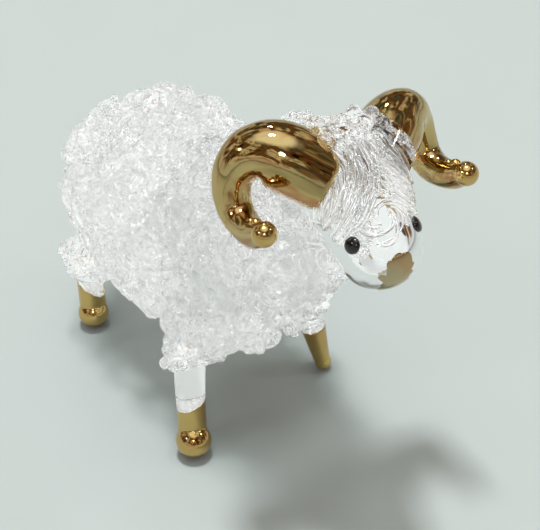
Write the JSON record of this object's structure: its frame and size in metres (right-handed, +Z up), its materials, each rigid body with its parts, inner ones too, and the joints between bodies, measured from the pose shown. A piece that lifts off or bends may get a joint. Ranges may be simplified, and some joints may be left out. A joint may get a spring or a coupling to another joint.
{
  "type": "glass ram figurine",
  "caption": "Flame-worked clear glass ram with looped thread wool, gilded curled horns, nose and feet, and black bead eyes, standing on rod legs.",
  "frame": {"origin": "on the table under the middle of the figure's outline box", "axes": "+X towards the nose, +Y to the sheep's left, +Z up"},
  "size_m": [0.0566, 0.0288, 0.0482],
  "materials": {
    "clear_glass": "gloss",
    "gold_lustre": "polished",
    "black_glass": "gloss"
  },
  "bodies": {
    "root": {"back_wool": "clear_glass", "body": "clear_glass", "brow_wool": "clear_glass", "chest_wool": "clear_glass", "front_left_foot": "gold_lustre", "front_left_leg": "clear_glass", "front_left_thigh_wool": "clear_glass", "front_right_foot": "gold_lustre", "front_right_leg": "clear_glass", "front_right_thigh_wool": "clear_glass", "head": "clear_glass", "left_eye": "black_glass", "left_horn": "gold_lustre", "left_horn_bead": "gold_lustre", "loin_wool": "clear_glass", "neck": "clear_glass", "neck_wool": "clear_glass", "nose": "gold_lustre", "rear_left_foot": "gold_lustre", "rear_left_leg": "clear_glass", "rear_left_thigh_wool": "clear_glass", "rear_right_foot": "gold_lustre", "rear_right_leg": "clear_glass", "rear_right_thigh_wool": "clear_glass", "right_eye": "black_glass", "right_horn": "gold_lustre", "right_horn_bead": "gold_lustre", "rump_wool": "clear_glass", "shoulder_wool": "clear_glass"}
  },
  "joints": []
}
